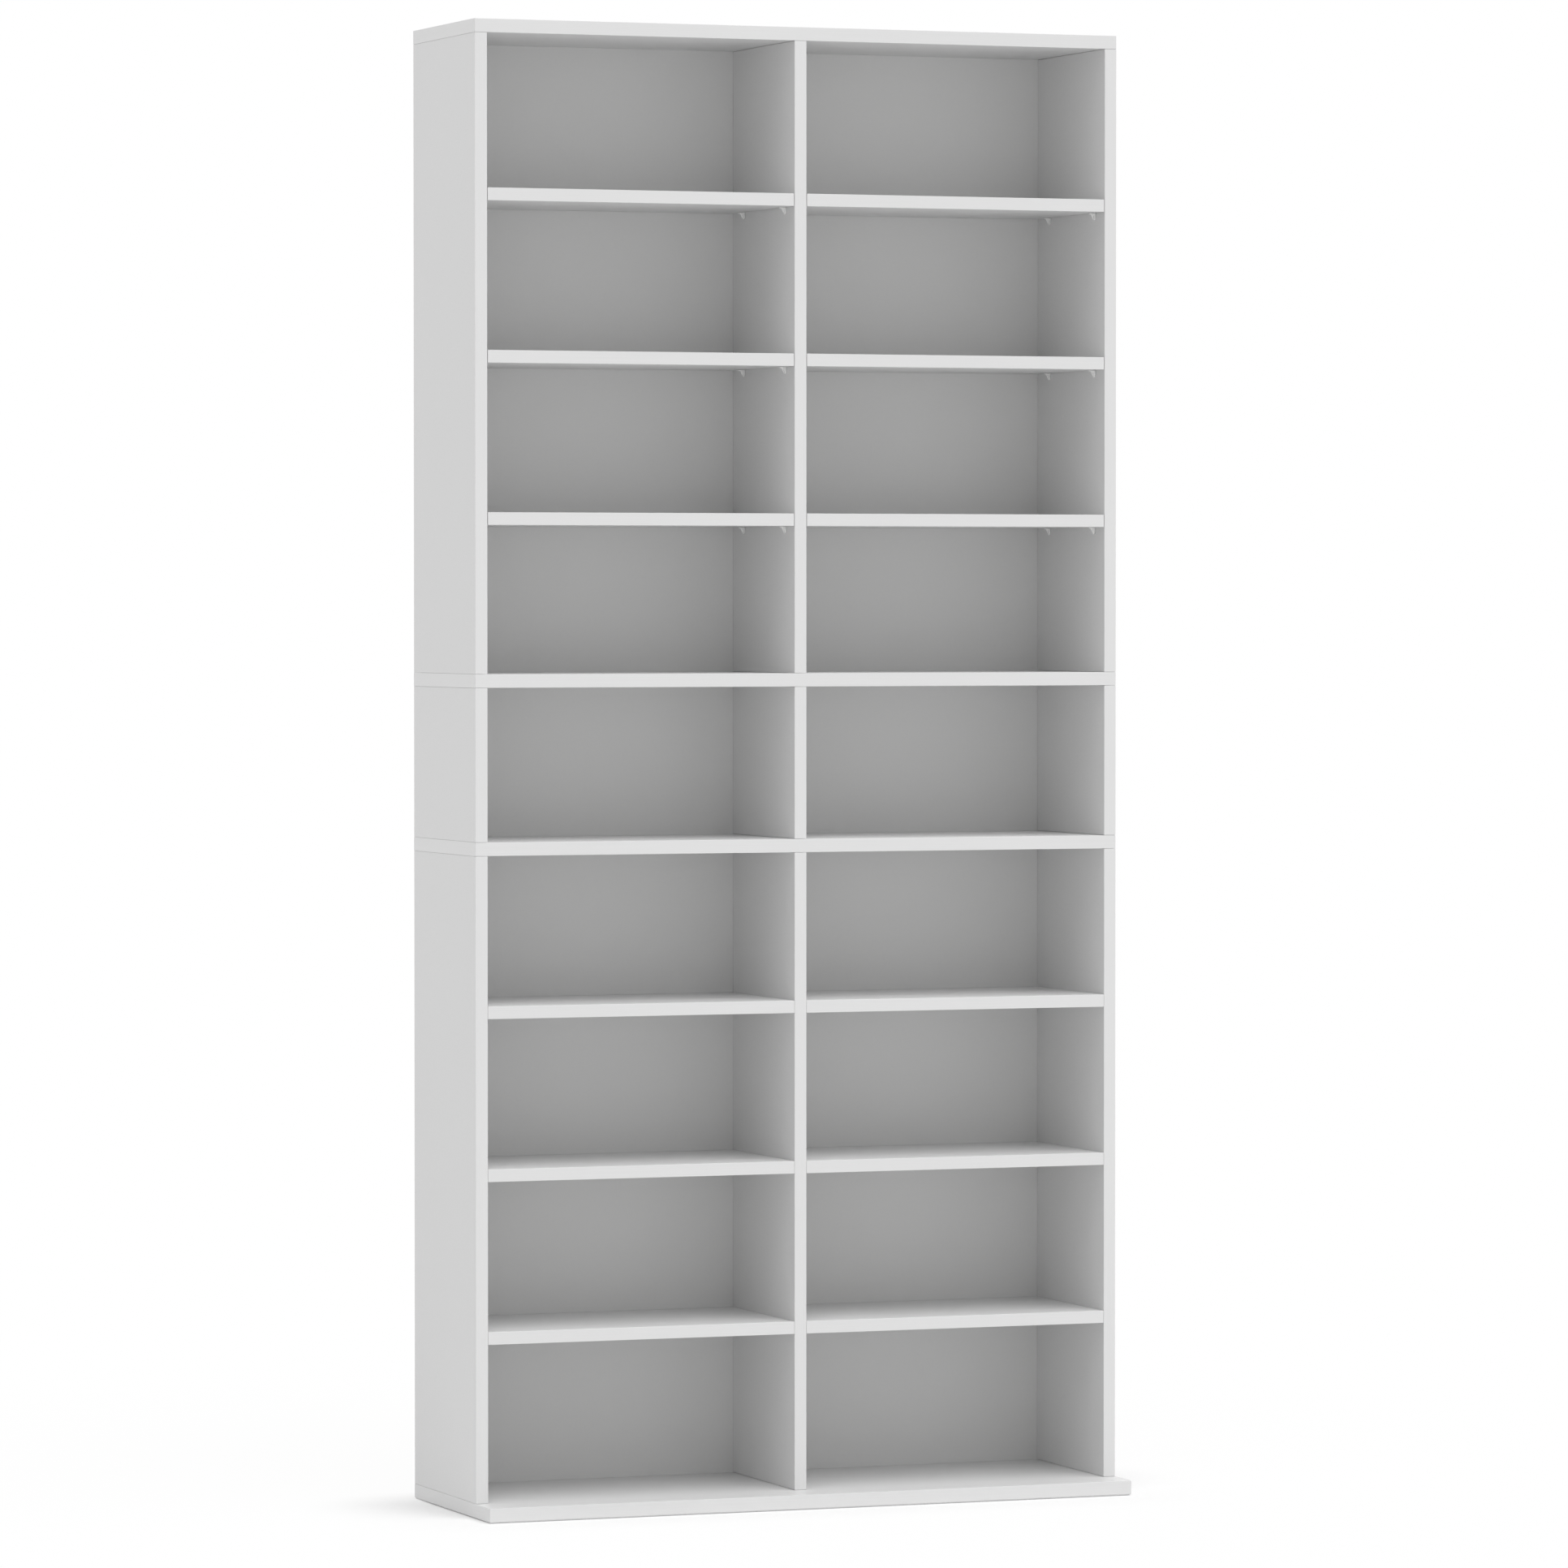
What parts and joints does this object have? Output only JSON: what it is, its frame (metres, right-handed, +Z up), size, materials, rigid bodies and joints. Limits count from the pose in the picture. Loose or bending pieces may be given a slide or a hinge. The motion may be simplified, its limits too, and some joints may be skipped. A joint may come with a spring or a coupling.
{
  "type": "cd rack",
  "caption": "Tall open rack of white-faced board with a centre divider, shallow rows of shelves, thin back panels and a base plate that juts out in front, for discs or small books.",
  "frame": {"origin": "on the floor, under the middle of the base plate", "axes": "+Z up; the open front looks towards -Y; +X to the right of someone facing the front"},
  "size_m": [0.824, 0.28, 1.775],
  "materials": {
    "white_board": "white melamine facing, satin",
    "white_back": "white-faced hardboard, satin",
    "pin_plastic": "milky translucent moulding"
  },
  "bodies": {
    "carcass": {"base_plate": "white_board", "lower_deck": "white_board", "upper_deck": "white_board", "top_plate": "white_board", "lower_left_side": "white_board", "lower_divider": "white_board", "lower_right_side": "white_board", "middle_left_side": "white_board", "middle_divider": "white_board", "middle_right_side": "white_board", "upper_left_side": "white_board", "upper_divider": "white_board", "upper_right_side": "white_board", "lower_back_panel": "white_back", "middle_back_panel": "white_back", "upper_back_panel": "white_back", "lower_left_shelf_1": "white_board", "lower_left_shelf_2": "white_board", "lower_left_shelf_3": "white_board", "lower_right_shelf_1": "white_board", "lower_right_shelf_2": "white_board", "lower_right_shelf_3": "white_board", "upper_left_shelf_1_pin_side_front": "pin_plastic", "upper_left_shelf_1_pin_side_rear": "pin_plastic", "upper_left_shelf_1_pin_divider_front": "pin_plastic", "upper_left_shelf_1_pin_divider_rear": "pin_plastic", "upper_left_shelf_2_pin_side_front": "pin_plastic", "upper_left_shelf_2_pin_side_rear": "pin_plastic", "upper_left_shelf_2_pin_divider_front": "pin_plastic", "upper_left_shelf_2_pin_divider_rear": "pin_plastic", "upper_left_shelf_3_pin_side_front": "pin_plastic", "upper_left_shelf_3_pin_side_rear": "pin_plastic", "upper_left_shelf_3_pin_divider_front": "pin_plastic", "upper_left_shelf_3_pin_divider_rear": "pin_plastic", "upper_right_shelf_1_pin_side_front": "pin_plastic", "upper_right_shelf_1_pin_side_rear": "pin_plastic", "upper_right_shelf_1_pin_divider_front": "pin_plastic", "upper_right_shelf_1_pin_divider_rear": "pin_plastic", "upper_right_shelf_2_pin_side_front": "pin_plastic", "upper_right_shelf_2_pin_side_rear": "pin_plastic", "upper_right_shelf_2_pin_divider_front": "pin_plastic", "upper_right_shelf_2_pin_divider_rear": "pin_plastic", "upper_right_shelf_3_pin_side_front": "pin_plastic", "upper_right_shelf_3_pin_side_rear": "pin_plastic", "upper_right_shelf_3_pin_divider_front": "pin_plastic", "upper_right_shelf_3_pin_divider_rear": "pin_plastic"},
    "left_shelf_1": {"upper_left_shelf_1": "white_board"},
    "left_shelf_2": {"upper_left_shelf_2": "white_board"},
    "left_shelf_3": {"upper_left_shelf_3": "white_board"},
    "right_shelf_1": {"upper_right_shelf_1": "white_board"},
    "right_shelf_2": {"upper_right_shelf_2": "white_board"},
    "right_shelf_3": {"upper_right_shelf_3": "white_board"}
  },
  "joints": [
    {"name": "left_shelf_1_slide", "type": "slide", "parent": "carcass", "child": "left_shelf_1", "axis": [0, -1, 0], "range_m": [0, 0.17]},
    {"name": "left_shelf_2_slide", "type": "slide", "parent": "carcass", "child": "left_shelf_2", "axis": [0, -1, 0], "range_m": [0, 0.17]},
    {"name": "left_shelf_3_slide", "type": "slide", "parent": "carcass", "child": "left_shelf_3", "axis": [0, -1, 0], "range_m": [0, 0.17]},
    {"name": "right_shelf_1_slide", "type": "slide", "parent": "carcass", "child": "right_shelf_1", "axis": [0, -1, 0], "range_m": [0, 0.17]},
    {"name": "right_shelf_2_slide", "type": "slide", "parent": "carcass", "child": "right_shelf_2", "axis": [0, -1, 0], "range_m": [0, 0.17]},
    {"name": "right_shelf_3_slide", "type": "slide", "parent": "carcass", "child": "right_shelf_3", "axis": [0, -1, 0], "range_m": [0, 0.17]}
  ]
}
